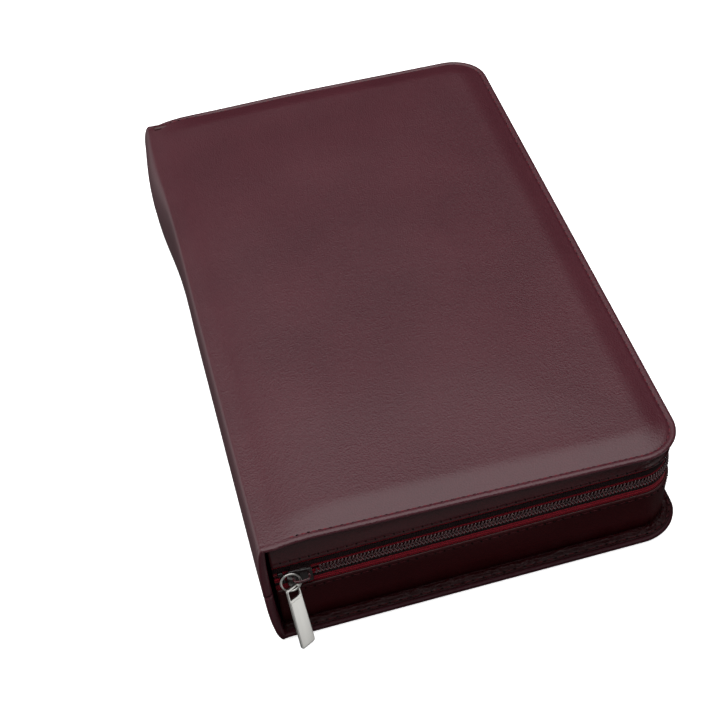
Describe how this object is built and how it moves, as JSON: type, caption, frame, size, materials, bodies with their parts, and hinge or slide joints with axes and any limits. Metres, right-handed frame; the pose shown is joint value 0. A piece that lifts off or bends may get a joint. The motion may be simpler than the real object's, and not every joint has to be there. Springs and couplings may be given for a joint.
{
  "type": "zip case bible",
  "caption": "Thick pocket-size book in a padded leather binding that closes round three sides with a coil zip, slider and hanging pull.",
  "frame": {"origin": "middle of the back cover's underside, on the surface the book lies on", "axes": "+X from the spine to the fore-edge, +Y from the tail to the head, +Z from the back cover up to the front cover"},
  "size_m": [0.134, 0.2313, 0.044],
  "materials": {
    "burgundy_leather": "fine-grained satin leather",
    "foam": "matt foam",
    "greyboard": "matt",
    "lining_paper": "matt",
    "zip_tape": "matt woven twill",
    "zip_coil": "satin nylon",
    "painted_slider": "lacquer",
    "satin_nickel": "satin nickel",
    "bible_paper": "thin matt paper",
    "endleaf_paper": "matt",
    "mull": "open gauze",
    "headband_silk": "striped silk",
    "ribbon_satin": "satin ribbon"
  },
  "bodies": {
    "back_case": {"back_cover_leather": "burgundy_leather", "back_cover_padding": "foam", "back_cover_board": "greyboard", "back_cover_lining": "lining_paper", "lower_gusset": "burgundy_leather", "lower_zip_tape": "zip_tape", "lower_zip_coil": "zip_coil", "lower_top_stop": "satin_nickel", "zip_bottom_stop": "zip_coil", "rear_endleaf": "endleaf_paper", "rear_leaves_1": "bible_paper", "rear_leaves_2": "bible_paper", "rear_leaves_3": "bible_paper", "rear_mull": "mull", "rear_headband": "headband_silk", "rear_tailband": "headband_silk", "ribbon_marker": "ribbon_satin"},
    "spine": {"spine_leather": "burgundy_leather", "spine_board": "greyboard", "spine_lining": "lining_paper"},
    "front_case": {"front_cover_leather": "burgundy_leather", "front_cover_padding": "foam", "front_cover_board": "greyboard", "front_cover_lining": "lining_paper", "upper_gusset": "burgundy_leather", "upper_zip_tape": "zip_tape", "upper_zip_coil": "zip_coil", "upper_top_stop": "satin_nickel"},
    "front_leaves": {"front_endleaf": "endleaf_paper", "front_leaves_1": "bible_paper", "front_leaves_2": "bible_paper", "front_leaves_3": "bible_paper", "front_mull": "mull", "front_headband": "headband_silk", "front_tailband": "headband_silk"},
    "slider": {"slider_body": "painted_slider", "slider_bail": "painted_slider"},
    "pull_ring": {"pull_ring": "satin_nickel"},
    "pull_tab": {"pull_tab": "satin_nickel"}
  },
  "joints": [
    {"name": "leaves_turn", "type": "hinge", "parent": "back_case", "child": "front_leaves", "pos_m": [-0.0627, 0, 0.022], "axis": [0, -1, 0], "range_deg": [0, 182.64]},
    {"name": "spine_fold", "type": "hinge", "parent": "back_case", "child": "spine", "pos_m": [-0.06768, 0, 0.00132], "axis": [0, -1, 0], "range_deg": [0, 90]},
    {"name": "cover_fold", "type": "hinge", "parent": "spine", "child": "front_case", "pos_m": [-0.06768, 0, 0.04268], "axis": [0, -1, 0], "range_deg": [0, 92.65]},
    {"name": "slider_travel", "type": "slide", "parent": "back_case", "child": "slider", "axis": [1, 0, 0], "range_m": [0, 0.095]},
    {"name": "ring_swing", "type": "hinge", "parent": "slider", "child": "pull_ring", "pos_m": [-0.05855, -0.11293, 0.0265], "axis": [0, -0.9681, 0.2504], "range_deg": [-10, 36]},
    {"name": "tab_swing", "type": "hinge", "parent": "pull_ring", "child": "pull_tab", "pos_m": [-0.05957, -0.11341, 0.02444], "axis": [-0.8504, -0.5234, 0.0533], "range_deg": [-4, 24]}
  ],
  "couplings": [
    {"joint": "spine_fold", "follows": "leaves_turn", "ratio": 0.49276},
    {"joint": "cover_fold", "follows": "leaves_turn", "ratio": 0.50724}
  ]
}
